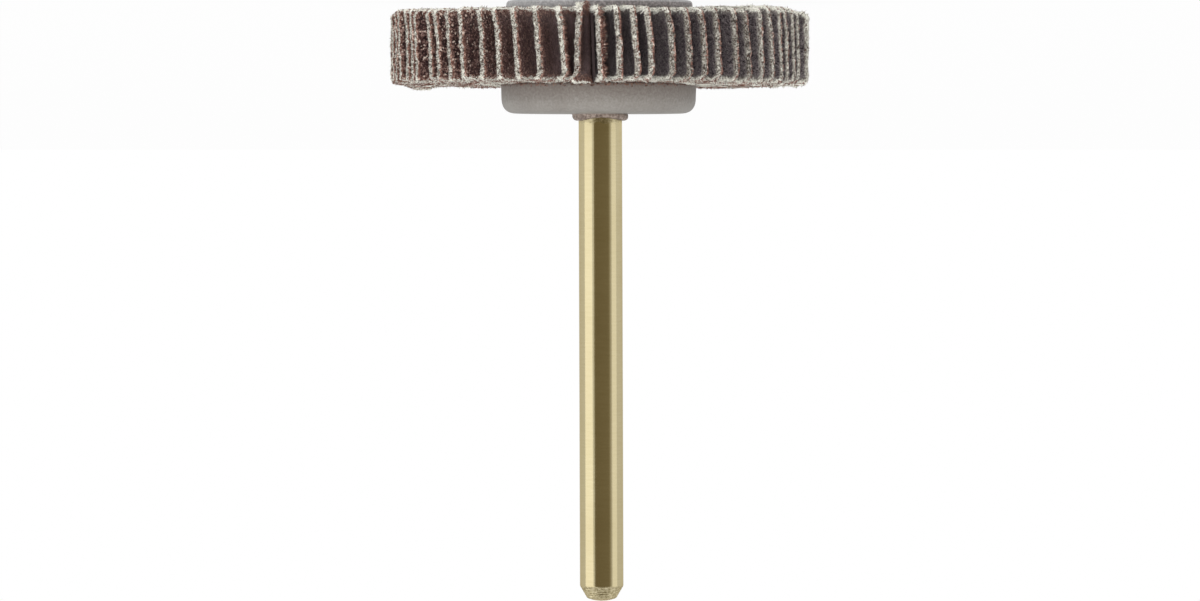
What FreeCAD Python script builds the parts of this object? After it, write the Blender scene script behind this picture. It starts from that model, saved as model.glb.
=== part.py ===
"""Mounted flap wheel: a ring of abrasive-cloth flaps set in a cast resin hub on a 3 mm shank.

It stands on the hub's head face at z = 0, with the shank pointing up along +Z.
Lengths are in millimetres and angles in degrees.
"""

import FreeCAD, Part
import math
import os

import Sketcher

Vector = FreeCAD.Vector

# Driving dimensions: name, value, what it is.
SIZES = (
    ("shank_diameter", 3.0, "straight shank, for a 3 mm collet"),
    ("shank_length", 40.0, "from the buried head to the free end"),
    ("lead_length", 1.04, "conical lead at the free end"),
    ("lead_end_diameter", 2.0, "small end of the lead"),
    ("end_dome", 0.18, "height of the slightly domed free end"),
    ("head_cover", 1.45, "resin between the head face and the shank's head"),
    ("head_chamfer", 0.2, "bevel round the buried head"),
    ("knurl_grooves", 16, "straight grooves that key the shank into the resin"),
    ("knurl_depth", 0.14, "depth of a groove"),
    ("knurl_mouth", 0.34, "width of a groove at the shank's surface"),
    ("knurl_length", 4.2, "length of the grooves, from the buried head"),
    ("neck_length", 0.5, "shallow neck that the bead's resin grips"),
    ("neck_depth", 0.25, "depth of the neck"),
    ("head_flange_diameter", 12.9, "thin flange that the wheel stands on"),
    ("head_flange_thickness", 0.75, "from the head face to the flaps"),
    ("head_rim_bevel", 0.24, "bevelled rim of the head flange"),
    ("drive_flange_diameter", 13.5, "thick flange, where it meets the flaps"),
    ("drive_flange_thickness", 2.05, "from the flaps to the face round the collar"),
    ("drive_rim_radius", 0.9, "rounded rim of the drive flange"),
    ("mould_draft", 2.0, "taper of both flange walls"),
    ("core_diameter", 12.4, "resin between the flanges"),
    ("collar_diameter", 3.9, "bead round the shank where it leaves the hub"),
    ("collar_height", 0.5, "height of the bead"),
    ("collar_bevel", 0.22, "bevelled rim of the bead"),
    ("wheel_diameter", 29.0, "across the flap tips"),
    ("wheel_width", 5.0, "width of a flap along the axis"),
    ("flap_count", 72, "flaps round the hub"),
    ("flap_thickness", 0.45, "coated cloth, backing and grain together"),
    ("root_diameter", 11.4, "across the flaps' inner ends"),
    ("slot_overrun", 0.125, "how far the slots' cut runs out past the core"),
    ("flap_lean", 2.0, "how far a flap's edges slant from the axis"),
)
SIZE = {name: value for name, value, _ in SIZES}

# How far each tip stands from its even place, in tenths of the pitch, across the half of the rim
# that faces -Y, clockwise seen from the shank. The other half repeats them.
TIP_DRIFT = (
    4, 3, 1, 3, -1, -6, -2, -5, -6, -6, -3, -3,
    -2, 1, 4, 2, 4, 4, 3, 1, 3, 3, 2, 1,
    3, 2, 3, 2, 1, -2, -3, -5, 2, 3, 2, 3,
)
FIRST_TIP = -16  # the first tip listed, counted from flap 0, which faces -Y
FLAP_PHASE = 0.36  # pitches by which flap 0 stands short of facing -Y
FLAPS_PER_NODE = 2

doc = FreeCAD.newDocument("flap_wheel")


def make_sheet():
    """The driving dimensions as named cells."""
    sheet = doc.addObject("Spreadsheet::Sheet", "sizes")
    for row, (name, value, note) in enumerate(SIZES, start=1):
        sheet.set(f"A{row}", name)
        sheet.set(f"B{row}", str(value))
        sheet.set(f"C{row}", note)
        sheet.setAlias(f"B{row}", name)
    doc.recompute()


def cell(name):
    """A driving dimension as it is written in an expression."""
    return f"<<sizes>>.{name}"


def value_of(expression):
    """An expression's value now, for the first place of the lines and arcs that it will size."""
    result = doc.getObject("sizes").evalExpression(expression)
    return float(getattr(result, "Value", result))


def make_body(name):
    body = doc.addObject("PartDesign::Body", name)
    body.Label = name
    return body


def origin_feature(body, role):
    return next(f for f in body.Origin.OriginFeatures if f.Role == role)


def make_sketch(body, name, plane):
    sketch = body.newObject("Sketcher::SketchObject", name)
    sketch.AttachmentSupport = (origin_feature(body, plane), [""])
    sketch.MapMode = "FlatFace"
    return sketch


def dimension(sketch, kind, geometry, point, expression):
    """An ordinate dimension, from the sketch's origin to a point."""
    index = sketch.addConstraint(
        Sketcher.Constraint(kind, -1, 1, geometry, point, value_of(expression))
    )
    sketch.setExpression(f"Constraints[{index}]", expression)


def place_point(sketch, geometry, point, across, along):
    dimension(sketch, "DistanceX", geometry, point, across)
    dimension(sketch, "DistanceY", geometry, point, along)


def draw_outline(sketch, corners):
    """A closed outline of straight lines through corners, each an (across, along) pair of expressions."""
    points = [Vector(value_of(a), value_of(b), 0) for a, b in corners]
    count = len(points)
    lines = [
        sketch.addGeometry(Part.LineSegment(points[i], points[(i + 1) % count]))
        for i in range(count)
    ]
    for i in range(count):
        following = lines[(i + 1) % count]
        sketch.addConstraint(Sketcher.Constraint("Coincident", lines[i], 2, following, 1))
    for line, (across, along) in zip(lines, corners):
        place_point(sketch, line, 1, across, along)


def revolve(body, name, sketch):
    turned = body.newObject("PartDesign::Revolution", name)
    turned.Profile = sketch
    turned.ReferenceAxis = (origin_feature(body, "Z_Axis"), [""])
    turned.Angle = 360
    body.Tip = turned
    doc.recompute()
    return turned


def rim_edges(feature, radius, height):
    """Names of the circular edges of that radius at that height."""
    near = 1e-4
    names = []
    for number, edge in enumerate(feature.Shape.Edges, start=1):
        round_edge = isinstance(edge.Curve, Part.Circle) and edge.Closed
        if round_edge and abs(edge.Curve.Radius - radius) < near:
            if abs(edge.Curve.Center.z - height) < near:
                names.append(f"Edge{number}")
    return names


def dress_rim(body, kind, name, radius, height):
    """Rounds or bevels the rim of that radius at that height."""
    base = body.Tip
    dressed = body.newObject(kind, name)
    dressed.Base = (base, rim_edges(base, radius, height))
    body.Tip = dressed
    return dressed


def round_rim(body, name, radius, height, size):
    fillet = dress_rim(body, "PartDesign::Fillet", name, radius, height)
    fillet.setExpression("Radius", cell(size))
    doc.recompute()


def bevel_rim(body, name, radius, height, size):
    chamfer = dress_rim(body, "PartDesign::Chamfer", name, radius, height)
    chamfer.setExpression("Size", cell(size))
    doc.recompute()


HEAD_Z = cell("head_cover")
END_Z = f"{cell('head_cover')} + {cell('shank_length')}"
FLAP_Z = cell("head_flange_thickness")
FLAP_END_Z = f"{cell('head_flange_thickness')} + {cell('wheel_width')}"
HUB_END_Z = f"{FLAP_END_Z} + {cell('drive_flange_thickness')}"
COLLAR_END_Z = f"{HUB_END_Z} + {cell('collar_height')}"
HALF_FLAP = f"{cell('flap_thickness')} / 2"
ROOT_X = f"{cell('root_diameter')} / 2"
BEND_X = f"{cell('drive_flange_diameter')} / 2"  # flaps are straight this far out
SLANT = f"tan({cell('flap_lean')} * 1 deg)"


def make_shank():
    """The turned pin: knurled head and neck inside the hub, conical lead and domed free end."""
    body = make_body("shank")
    profile = make_sketch(body, "shank_profile", "XZ_Plane")
    radius = f"{cell('shank_diameter')} / 2"
    bevel = cell("head_chamfer")
    end_radius = f"{cell('lead_end_diameter')} / 2"
    dome_z = f"{END_Z} - {cell('end_dome')}"
    neck = f"{radius} - {cell('neck_depth')}"
    neck_z = f"{COLLAR_END_Z} - {cell('neck_length')}"
    corners = (
        ("0 mm", HEAD_Z),
        (f"{radius} - {bevel}", HEAD_Z),
        (radius, f"{HEAD_Z} + {bevel}"),
        (radius, f"{neck_z} - {cell('neck_depth')}"),
        (neck, neck_z),
        (neck, COLLAR_END_Z),
        (radius, COLLAR_END_Z),
        (radius, f"{END_Z} - {cell('lead_length')}"),
        (end_radius, dome_z),
    )
    points = [Vector(value_of(a), value_of(b), 0) for a, b in corners]
    for start, end in zip(points, points[1:]):
        profile.addGeometry(Part.LineSegment(start, end))
    for line in range(len(points) - 2):
        profile.addConstraint(Sketcher.Constraint("Coincident", line, 2, line + 1, 1))
    for line, (across, along) in enumerate(corners[:-1]):
        place_point(profile, line, 1, across, along)
    lead = len(points) - 2
    place_point(profile, lead, 2, *corners[-1])
    chord = value_of(end_radius)
    height = value_of(cell("end_dome"))
    dome_radius = (chord**2 + height**2) / (2 * height)
    top = value_of(END_Z)
    half_angle = math.asin(chord / dome_radius)
    circle = Part.Circle(Vector(0, top - dome_radius, 0), Vector(0, 0, 1), dome_radius)
    quarter = math.pi / 2
    dome = profile.addGeometry(Part.ArcOfCircle(circle, quarter - half_angle, quarter))
    axis = profile.addGeometry(Part.LineSegment(Vector(0, top, 0), points[0]))
    profile.addConstraint(Sketcher.Constraint("Coincident", lead, 2, dome, 1))
    profile.addConstraint(Sketcher.Constraint("Coincident", dome, 2, axis, 1))
    profile.addConstraint(Sketcher.Constraint("Coincident", axis, 2, 0, 1))
    profile.addConstraint(Sketcher.Constraint("PointOnObject", dome, 3, -2))
    place_point(profile, dome, 2, "0 mm", END_Z)
    revolve(body, "shank_turning", profile)
    cut_knurl(body)
    return body


def cut_knurl(body):
    """Straight V grooves round the buried head, which the resin fills."""
    groove = make_sketch(body, "knurl_groove", "XY_Plane")
    groove.setExpression(".AttachmentOffset.Base.z", HEAD_Z)
    radius = f"{cell('shank_diameter')} / 2"
    half_mouth = f"{cell('knurl_mouth')} / 2"
    outside = f"{radius} + {cell('knurl_depth')}"
    corners = (
        (f"{radius} - {cell('knurl_depth')}", "0 mm"),
        (outside, f"-2 * {half_mouth}"),
        (outside, f"2 * {half_mouth}"),
    )
    draw_outline(groove, corners)
    pocket = body.newObject("PartDesign::Pocket", "knurl_cut")
    pocket.Profile = groove
    pocket.setExpression("Length", cell("knurl_length"))
    pocket.Reversed = True
    body.Tip = pocket
    doc.recompute()
    ring_of(body, "knurl_ring", pocket, "knurl_grooves")


def turn_about_axis(body, flap_number):
    """Turns a body so that its local x points to that flap's even place."""
    body.Placement.Rotation = FreeCAD.Rotation(Vector(0, 0, 1), 0)
    turn = f"-90 deg - ({flap_number} - {FLAP_PHASE}) * 360 deg / {cell('flap_count')}"
    body.setExpression("Placement.Rotation.Angle", turn)


def lay_on_flap_base(sketch):
    """Sets a flap's or slot's sketch where the slanted flaps begin, half the slant to one side."""
    sketch.setExpression(".AttachmentOffset.Base.z", FLAP_Z)
    sketch.setExpression(".AttachmentOffset.Base.y", f"{SLANT} * {cell('wheel_width')} / 2")


def run_along_slant(feature):
    """Takes a pad or pocket across the wheel's width, along the slant of the flaps."""
    feature.UseCustomVector = True
    feature.AlongSketchNormal = True
    feature.Direction = Vector(0, 0, 1)
    feature.setExpression("Direction.y", f"-{SLANT}")
    feature.setExpression("Length", cell("wheel_width"))


def make_casting():
    """The resin casting without its shank: head flange, slotted core, drive flange and collar."""
    body = make_body("hub_casting")
    profile = make_sketch(body, "hub_profile", "XZ_Plane")
    head = f"{cell('head_flange_diameter')} / 2"
    drive = f"{cell('drive_flange_diameter')} / 2"
    core = f"{cell('core_diameter')} / 2"
    collar = f"{cell('collar_diameter')} / 2"
    draft = f"tan({cell('mould_draft')} * 1 deg)"
    head_face = f"{head} - {cell('head_flange_thickness')} * {draft}"
    drive_face = f"{drive} - {cell('drive_flange_thickness')} * {draft}"
    corners = (
        ("0 mm", "0 mm"),
        (head_face, "0 mm"),
        (head, FLAP_Z),
        (core, FLAP_Z),
        (core, FLAP_END_Z),
        (drive, FLAP_END_Z),
        (drive_face, HUB_END_Z),
        (collar, HUB_END_Z),
        (collar, COLLAR_END_Z),
        ("0 mm", COLLAR_END_Z),
    )
    draw_outline(profile, corners)
    revolve(body, "hub_turning", profile)
    bevel_rim(body, "head_rim", value_of(head_face), 0.0, "head_rim_bevel")
    hub_end = value_of(HUB_END_Z)
    round_rim(body, "drive_rim", value_of(drive_face), hub_end, "drive_rim_radius")
    collar_end = value_of(COLLAR_END_Z)
    bevel_rim(body, "collar_rim", value_of(collar), collar_end, "collar_bevel")
    cut_slots(body)
    turn_about_axis(body, 0)
    return body


def cut_slots(body):
    """A slanted slot in the core for each flap's inner end."""
    slot = make_sketch(body, "slot_outline", "XY_Plane")
    lay_on_flap_base(slot)
    mouth_x = f"{cell('core_diameter')} / 2 + {cell('slot_overrun')}"
    corners = (
        (ROOT_X, f"-{HALF_FLAP}"),
        (mouth_x, f"-{HALF_FLAP}"),
        (mouth_x, HALF_FLAP),
        (ROOT_X, HALF_FLAP),
    )
    draw_outline(slot, corners)
    doc.recompute()
    pocket = body.newObject("PartDesign::Pocket", "slot_cut")
    pocket.Profile = slot
    run_along_slant(pocket)
    body.Tip = pocket
    doc.recompute()
    ring_of(body, "slot_ring", pocket, "flap_count")


def ring_of(body, name, feature, count):
    """Repeats a feature evenly round the axis."""
    ring = body.newObject("PartDesign::PolarPattern", name)
    ring.Originals = [feature]
    ring.Axis = (origin_feature(body, "Z_Axis"), [""])
    ring.Angle = 360
    ring.setExpression("Occurrences", cell(count))
    body.Tip = ring
    doc.recompute()


def draw_flap(sketch, drift):
    """A strip seen on edge: straight inside the hub, then bent to a tip that is off its even place.

    Local x is radial. The grain is on the side toward -y. The drift is in pitches, positive toward -y.
    """
    drift_angle = f"({-drift} * 360 deg / {cell('flap_count')})"
    tip_x = f"{cell('wheel_diameter')} / 2 * cos{drift_angle}"
    tip_y = f"{cell('wheel_diameter')} / 2 * sin{drift_angle}"
    reach = f"({tip_x} - {BEND_X})"
    bend = f"(({reach}^2 + ({tip_y})^2) / (2 * {tip_y}))"
    end_x = f"{HALF_FLAP} * {reach} / {bend}"
    end_y = f"{HALF_FLAP} * ({tip_y} / {bend} - 1)"
    corners = (
        (ROOT_X, f"-{HALF_FLAP}"),
        (BEND_X, f"-{HALF_FLAP}"),
        (f"{tip_x} + {end_x}", f"{tip_y} + {end_y}"),
        (f"{tip_x} - {end_x}", f"{tip_y} - {end_y}"),
        (BEND_X, HALF_FLAP),
        (ROOT_X, HALF_FLAP),
    )
    points = [Vector(value_of(a), value_of(b), 0) for a, b in corners]
    centre = Vector(value_of(BEND_X), value_of(bend), 0)

    def arc(start, end):
        """Counter-clockwise from one point to the other, as arcs are held."""
        angles = [math.atan2(p.y - centre.y, p.x - centre.x) for p in (start, end)]
        circle = Part.Circle(centre, Vector(0, 0, 1), start.distanceToPoint(centre))
        return sketch.addGeometry(Part.ArcOfCircle(circle, *angles))

    toward_y = centre.y > 0
    low_line = sketch.addGeometry(Part.LineSegment(points[0], points[1]))
    low_arc = arc(points[1], points[2]) if toward_y else arc(points[2], points[1])
    tip = sketch.addGeometry(Part.LineSegment(points[2], points[3]))
    high_arc = arc(points[4], points[3]) if toward_y else arc(points[3], points[4])
    high_line = sketch.addGeometry(Part.LineSegment(points[4], points[5]))
    root = sketch.addGeometry(Part.LineSegment(points[5], points[0]))
    low_start, low_end = (1, 2) if toward_y else (2, 1)
    joints = (
        (low_line, 2, low_arc, low_start),
        (low_arc, low_end, tip, 1),
        (tip, 2, high_arc, low_end),
        (high_arc, low_start, high_line, 1),
        (high_line, 2, root, 1),
        (root, 2, low_line, 1),
    )
    for joint in joints:
        sketch.addConstraint(Sketcher.Constraint("Coincident", *joint))
    starts = ((low_line, 1), (low_line, 2), (tip, 1), (tip, 2), (high_line, 1), (high_line, 2))
    for (line, point), (across, along) in zip(starts, corners):
        place_point(sketch, line, point, across, along)
    for curve in (low_arc, high_arc):
        dimension(sketch, "DistanceX", curve, 3, BEND_X)


def make_flap(number):
    """Flap number 0 faces -Y, and the others follow clockwise seen from the shank."""
    drift = TIP_DRIFT[(number - FIRST_TIP) % len(TIP_DRIFT)] / 10
    body = make_body(f"flap_body_{number + 1:02d}")
    strip = make_sketch(body, f"flap_edge_{number + 1:02d}", "XY_Plane")
    lay_on_flap_base(strip)
    draw_flap(strip, drift)
    pad = body.newObject("PartDesign::Pad", f"flap_cloth_{number + 1:02d}")
    pad.Profile = strip
    run_along_slant(pad)
    body.Tip = pad
    turn_about_axis(body, number)
    return body


def make_compound(name, members):
    group = doc.addObject("Part::Compound", name)
    group.Label = name
    group.Links = members
    return group


def make_hub(casting, shank):
    """The resin as it is cast round the shank, filling the knurl."""
    hub = doc.addObject("Part::Cut", "hub")
    hub.Label = "hub"
    hub.Base = casting
    hub.Tool = shank
    return hub


def check_document(pieces):
    """Stops with the names of objects that didn't compute, and of pieces with no valid solid."""
    doc.recompute()
    faults = [o.Name for o in doc.Objects if "Invalid" in o.State or "Error" in o.State]
    for piece in pieces:
        if piece.Shape.isNull() or not piece.Shape.isValid():
            faults.append(piece.Label)
    if faults:
        raise RuntimeError("faults in " + ", ".join(faults))


def main():
    make_sheet()
    shank = make_shank()
    casting = make_casting()
    flaps = [make_flap(number) for number in range(SIZE["flap_count"])]
    hub = make_hub(casting, shank)
    pieces = [shank, hub]
    for first in range(0, len(flaps), FLAPS_PER_NODE):
        name = f"flaps_{first // FLAPS_PER_NODE + 1:02d}"
        pieces.append(make_compound(name, flaps[first : first + FLAPS_PER_NODE]))
    check_document(pieces)
    os.makedirs("parts", exist_ok=True)
    for piece in pieces:
        piece.Shape.exportStep(f"parts/{piece.Label}.step")
        print(piece.Label, len(piece.Shape.Solids), round(piece.Shape.Volume, 3))


main()
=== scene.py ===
"""Looks for the mounted flap wheel: frayed abrasive flaps, a cast resin hub and a turned shank.

Lengths are in millimetres in this file and are scaled to metres when a mesh is made.
"""

import math

import bpy
import numpy as np
from mathutils import Matrix, Vector


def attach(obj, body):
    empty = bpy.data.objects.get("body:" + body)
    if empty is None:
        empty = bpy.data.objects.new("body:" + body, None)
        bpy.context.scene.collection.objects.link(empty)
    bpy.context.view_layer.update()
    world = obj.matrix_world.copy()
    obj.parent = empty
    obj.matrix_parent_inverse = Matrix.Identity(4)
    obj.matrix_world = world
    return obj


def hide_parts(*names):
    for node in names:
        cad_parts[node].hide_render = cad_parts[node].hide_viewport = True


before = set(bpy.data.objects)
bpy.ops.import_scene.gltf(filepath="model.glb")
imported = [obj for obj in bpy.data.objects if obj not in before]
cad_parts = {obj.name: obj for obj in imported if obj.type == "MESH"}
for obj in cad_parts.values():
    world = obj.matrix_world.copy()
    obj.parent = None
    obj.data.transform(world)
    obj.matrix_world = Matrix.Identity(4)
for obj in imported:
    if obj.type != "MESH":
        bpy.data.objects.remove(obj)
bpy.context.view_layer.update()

MM = 0.001

# Real sizes, as in the solids
WHEEL_R = 14.5
FLAP_COUNT = 72
FLAP_THICKNESS = 0.45
FLAP_LEAN = math.radians(2.0)
FLAP_Z = 0.75
WHEEL_WIDTH = 5.0
ROOT_R = 5.7
BEND_R = 6.75
BEND_SHARE = 0.25  # how much of a flap's free length its bend takes
FIRST_TIP = -16
FLAP_PHASE = 0.36
TIP_DRIFT = (
    4, 3, 1, 3, -1, -6, -2, -5, -6, -6, -3, -3,
    -2, 1, 4, 2, 4, 4, 3, 1, 3, 3, 2, 1,
    3, 2, 3, 2, 1, -2, -3, -5, 2, 3, 2, 3,
)
PITCH = 2 * math.pi / FLAP_COUNT
SHANK_END = 41.45


# Smooth random fields
def hashed(xi, yi, seed):
    """A repeatable random number from 0 to 1 for each whole-number place."""
    n = (xi.astype(np.int64) * 374761393 + yi.astype(np.int64) * 668265263 + seed * 974634777) & 0xFFFFFFFF
    n = ((n ^ (n >> 13)) * 1274126177) & 0xFFFFFFFF
    n = ((n ^ (n >> 16)) * 2246822519) & 0xFFFFFFFF
    return ((n ^ (n >> 15)) & 0xFFFFFF) / 0xFFFFFF


def field(x, y, seed):
    """Smooth noise from -1 to 1 that changes over about one unit of x or y."""
    x = np.asarray(x, float)
    y = np.asarray(y, float) + np.zeros_like(x)
    xi, yi = np.floor(x), np.floor(y)
    fx, fy = x - xi, y - yi
    fx = fx * fx * (3 - 2 * fx)
    fy = fy * fy * (3 - 2 * fy)
    low = hashed(xi, yi, seed) * (1 - fx) + hashed(xi + 1, yi, seed) * fx
    high = hashed(xi, yi + 1, seed) * (1 - fx) + hashed(xi + 1, yi + 1, seed) * fx
    return 2 * (low * (1 - fy) + high * fy) - 1


def smooth(x, low, high):
    t = np.clip((x - low) / (high - low), 0, 1)
    return t * t * (3 - 2 * t)


# Materials
def set_inputs(node, values):
    for name, value in values.items():
        node.inputs[name].default_value = value


def bare_material(name):
    """A material with no shader yet, its node tree, and the socket that a shader goes into."""
    material = bpy.data.materials.new(name)
    material.use_nodes = True
    tree = material.node_tree
    tree.nodes.clear()
    return material, tree, tree.nodes.new("ShaderNodeOutputMaterial").inputs["Surface"]


def new_material(name):
    """A material with one Principled shader, and the place on the object that its patterns use."""
    material, tree, surface = bare_material(name)
    shader = tree.nodes.new("ShaderNodeBsdfPrincipled")
    tree.links.new(shader.outputs[0], surface)
    return material, tree, shader, object_place(tree)


def ramp(tree, source, stops):
    """Colours by a value: stops are (place, (r, g, b))."""
    node = tree.nodes.new("ShaderNodeValToRGB")
    elements = node.color_ramp.elements
    while len(elements) < len(stops):
        elements.new(0.5)
    for element, (place, colour) in zip(elements, stops):
        element.position = place
        element.color = (*colour, 1)
    tree.links.new(source, node.inputs[0])
    return node.outputs[0]


def mix(tree, amount, first, second, mode="MIX"):
    node = tree.nodes.new("ShaderNodeMix")
    node.data_type = "RGBA"
    node.blend_type = mode
    for socket, value in ((node.inputs[0], amount), (node.inputs[6], first), (node.inputs[7], second)):
        if isinstance(value, bpy.types.NodeSocket):
            tree.links.new(value, socket)
        elif isinstance(value, tuple):
            socket.default_value = (*value, 1)
        else:
            socket.default_value = value
    return node.outputs[2]


def maths(tree, operation, *values):
    node = tree.nodes.new("ShaderNodeMath")
    node.operation = operation
    for socket, value in zip(node.inputs, values):
        if isinstance(value, bpy.types.NodeSocket):
            tree.links.new(value, socket)
        else:
            socket.default_value = value
    return node.outputs[0]


def plus(tree, first, second):
    return maths(tree, "ADD", first, second)


def minus(tree, first, second):
    return maths(tree, "SUBTRACT", first, second)


def times(tree, first, second):
    return maths(tree, "MULTIPLY", first, second)


def weighted(tree, *terms):
    """The sum of some values, each times its weight: terms are (value, weight)."""
    total = None
    for value, weight in terms:
        part = times(tree, value, weight)
        total = part if total is None else plus(tree, total, part)
    return total


def noise(tree, place, scale, detail=3.0, roughness=0.6, distortion=0.0):
    node = tree.nodes.new("ShaderNodeTexNoise")
    set_inputs(node, {"Scale": scale, "Detail": detail, "Roughness": roughness, "Distortion": distortion})
    tree.links.new(place, node.inputs["Vector"])
    return node.outputs["Fac"]


def taken_apart(tree, kind, source):
    """The three numbers of a colour or of a place."""
    node = tree.nodes.new(kind)
    tree.links.new(source, node.inputs[0])
    return node.outputs


def grains(tree, place, scale):
    """Three random numbers, which are the same all over each small cell."""
    node = tree.nodes.new("ShaderNodeTexVoronoi")
    set_inputs(node, {"Scale": scale})
    tree.links.new(place, node.inputs["Vector"])
    return taken_apart(tree, "ShaderNodeSeparateColor", node.outputs["Color"])


def object_place(tree):
    return tree.nodes.new("ShaderNodeTexCoord").outputs["Object"]


def attribute(tree, name):
    node = tree.nodes.new("ShaderNodeAttribute")
    node.attribute_name = name
    return node.outputs["Fac"]


def bump(tree, shader, height, strength, distance):
    node = tree.nodes.new("ShaderNodeBump")
    set_inputs(node, {"Strength": strength, "Distance": distance})
    tree.links.new(height, node.inputs["Height"])
    tree.links.new(node.outputs[0], shader.inputs["Normal"])


def strands(tree, place, scale, distortion, thinness):
    """Thin wandering lines: 1 along a line, falling to 0 beside it."""
    wander = noise(tree, place, scale, 2.0, 0.6, distortion)
    off = maths(tree, "ABSOLUTE", minus(tree, wander, 0.5))
    return maths(tree, "MAXIMUM", minus(tree, 1.0, times(tree, off, thinness)), 0.0)


def grit_material():
    """Reddish-brown grain: dark bristles, some paler, a few painted glints, and redder at the cut edges."""
    material, tree, shader, place = new_material("abrasive_grain")
    cell = grains(tree, place, 8200.0)
    clumps = noise(tree, place, 2400.0, 3.0, 0.7)
    lines = strands(tree, place, 2300.0, 2.5, 11.0)
    shade = weighted(tree, (cell[0], 0.4), (clumps, 0.34), (lines, 0.32))
    deep = ramp(tree, shade, (
        (0.25, (0.024, 0.01, 0.009)), (0.46, (0.068, 0.034, 0.031)), (0.62, (0.112, 0.061, 0.054)),
        (0.84, (0.3, 0.195, 0.17)),
    ))
    outer = ramp(tree, shade, (
        (0.25, (0.012, 0.005, 0.005)), (0.46, (0.037, 0.015, 0.014)),
        (0.62, (0.094, 0.043, 0.038)), (0.84, (0.5, 0.33, 0.27)),
    ))
    edge = ramp(tree, shade, (
        (0.24, (0.05, 0.018, 0.014)), (0.46, (0.19, 0.086, 0.062)),
        (0.66, (0.35, 0.185, 0.14)), (0.84, (0.68, 0.51, 0.43)),
    ))
    # painted highlight: bright glint specks, and a more sparkling grain near the tip
    painted_sparkle = attribute(tree, "painted_sparkle")
    brown = mix(tree, attribute(tree, "fray"), mix(tree, painted_sparkle, deep, outer), edge)
    painted_glint = times(tree, maths(tree, "GREATER_THAN", cell[1], 0.95), 0.9)
    grain = mix(tree, times(tree, painted_glint, painted_sparkle), brown, (0.78, 0.64, 0.54))
    # painted light: paler colours for the deep part of the flap, standing in for light in the gaps
    deep_light_paint = ramp(tree, shade, (
        (0.25, (0.27, 0.19, 0.195)), (0.46, (0.42, 0.302, 0.315)), (0.84, (0.86, 0.65, 0.65)),
    ))
    tree.links.new(mix(tree, attribute(tree, "recess_paint"), grain, deep_light_paint), shader.inputs["Base Color"])
    set_inputs(shader, {
        "Roughness": 0.62, "Specular IOR Level": 0.35,
        "Sheen Weight": 0.16, "Sheen Roughness": 0.45, "Sheen Tint": (0.46, 0.27, 0.24, 1),
    })
    bump(tree, shader, shade, 0.9, 0.00006)
    return material


def cloth_material():
    """Dark grey-brown cloth with fine paler hairs lying across it, and light fraying at the cut edges."""
    material, tree, shader, place = new_material("backing_cloth")
    long_hairs = strands(tree, place, 2200.0, 2.8, 13.0)
    short_hairs = strands(tree, place, 3700.0, 3.2, 12.0)
    thin = maths(tree, "MAXIMUM", long_hairs, times(tree, short_hairs, 0.75))
    fine = noise(tree, place, 7000.0, 2.0, 0.7)
    level = weighted(tree, (thin, 0.72), (fine, 0.32))
    dark = ramp(tree, level, (
        (0.12, (0.015, 0.011, 0.0145)), (0.42, (0.042, 0.033, 0.04)), (0.95, (0.37, 0.325, 0.318)),
    ))
    light = ramp(tree, level, (
        (0.1, (0.12, 0.104, 0.094)), (0.5, (0.3, 0.272, 0.24)), (0.92, (0.62, 0.59, 0.53)),
    ))
    cloth = mix(tree, attribute(tree, "fray"), dark, light)
    # painted light: paler colours for the deep part of the flap, standing in for light in the gaps
    deep_light_paint = ramp(tree, level, (
        (0.12, (0.185, 0.143, 0.15)), (0.42, (0.29, 0.228, 0.237)), (0.95, (0.8, 0.69, 0.66)),
    ))
    tree.links.new(mix(tree, attribute(tree, "recess_paint"), cloth, deep_light_paint), shader.inputs["Base Color"])
    set_inputs(shader, {
        "Roughness": 0.9, "Specular IOR Level": 0.15,
        "Sheen Weight": 0.14, "Sheen Roughness": 0.45, "Sheen Tint": (0.36, 0.3, 0.3, 1),
    })
    bump(tree, shader, level, 0.7, 0.00005)
    return material


def fluff_material():
    """Cut thread ends: pale greenish grey, each fibre lighter or darker than the next, with grit between."""
    material, tree, shader, place = new_material("frayed_thread")
    tone = attribute(tree, "tone")
    cell = grains(tree, place, 11000.0)
    speck = noise(tree, place, 5200.0, 3.0, 0.75)
    level = weighted(tree, (tone, 0.62), (cell[0], 0.16), (minus(tree, speck, 0.5), 1.1))
    colour = ramp(tree, level, (
        (0.04, (0.05, 0.04, 0.034)), (0.22, (0.235, 0.21, 0.18)),
        (0.45, (0.57, 0.55, 0.485)), (0.74, (0.88, 0.87, 0.79)),
    ))
    grit = maths(tree, "GREATER_THAN", cell[1], 0.91)
    tree.links.new(mix(tree, grit, colour, (0.085, 0.047, 0.038)), shader.inputs["Base Color"])
    set_inputs(shader, {"Roughness": 0.85, "Specular IOR Level": 0.2})
    bump(tree, shader, level, 0.8, 0.00005)
    return material


def flap_shade_and_crumbs(tree, place, z, fine, grey):
    """Painted shade: darker brown on the core and on the drive flange's near edge by the flaps, with crumbs
    of grain stuck in it.
    """
    core_top, crumbs_from = 0.0057, 0.00575  # heights in metres
    # painted shade: darker next to the flaps, fading out over about 1.4 mm above the core
    beyond = times(tree, minus(tree, z, core_top), 700.0)
    ragged = plus(tree, beyond, times(tree, minus(tree, fine, 0.5), 0.9))
    recess_paint = ramp(tree, ragged, ((0.0, (1, 1, 1)), (0.35, (0.62, 0.62, 0.62)), (1.0, (0, 0, 0))))
    # the core between the flaps takes its own painted shade colour
    in_core = maths(tree, "LESS_THAN", z, core_top)
    painted_shade_colour = mix(tree, in_core, (0.15, 0.121, 0.106), (0.14, 0.102, 0.103))
    crumbs = grains(tree, place, 9000.0)
    past = times(tree, minus(tree, z, crumbs_from), 2100.0)
    thinning = maths(tree, "LESS_THAN", crumbs[0], minus(tree, 0.62, past))
    stuck = times(tree, thinning, minus(tree, 1.0, in_core))
    grime = mix(tree, crumbs[1], (0.06, 0.032, 0.026), (0.25, 0.15, 0.115))
    return mix(tree, stuck, mix(tree, recess_paint, grey, painted_shade_colour), grime)


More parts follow.
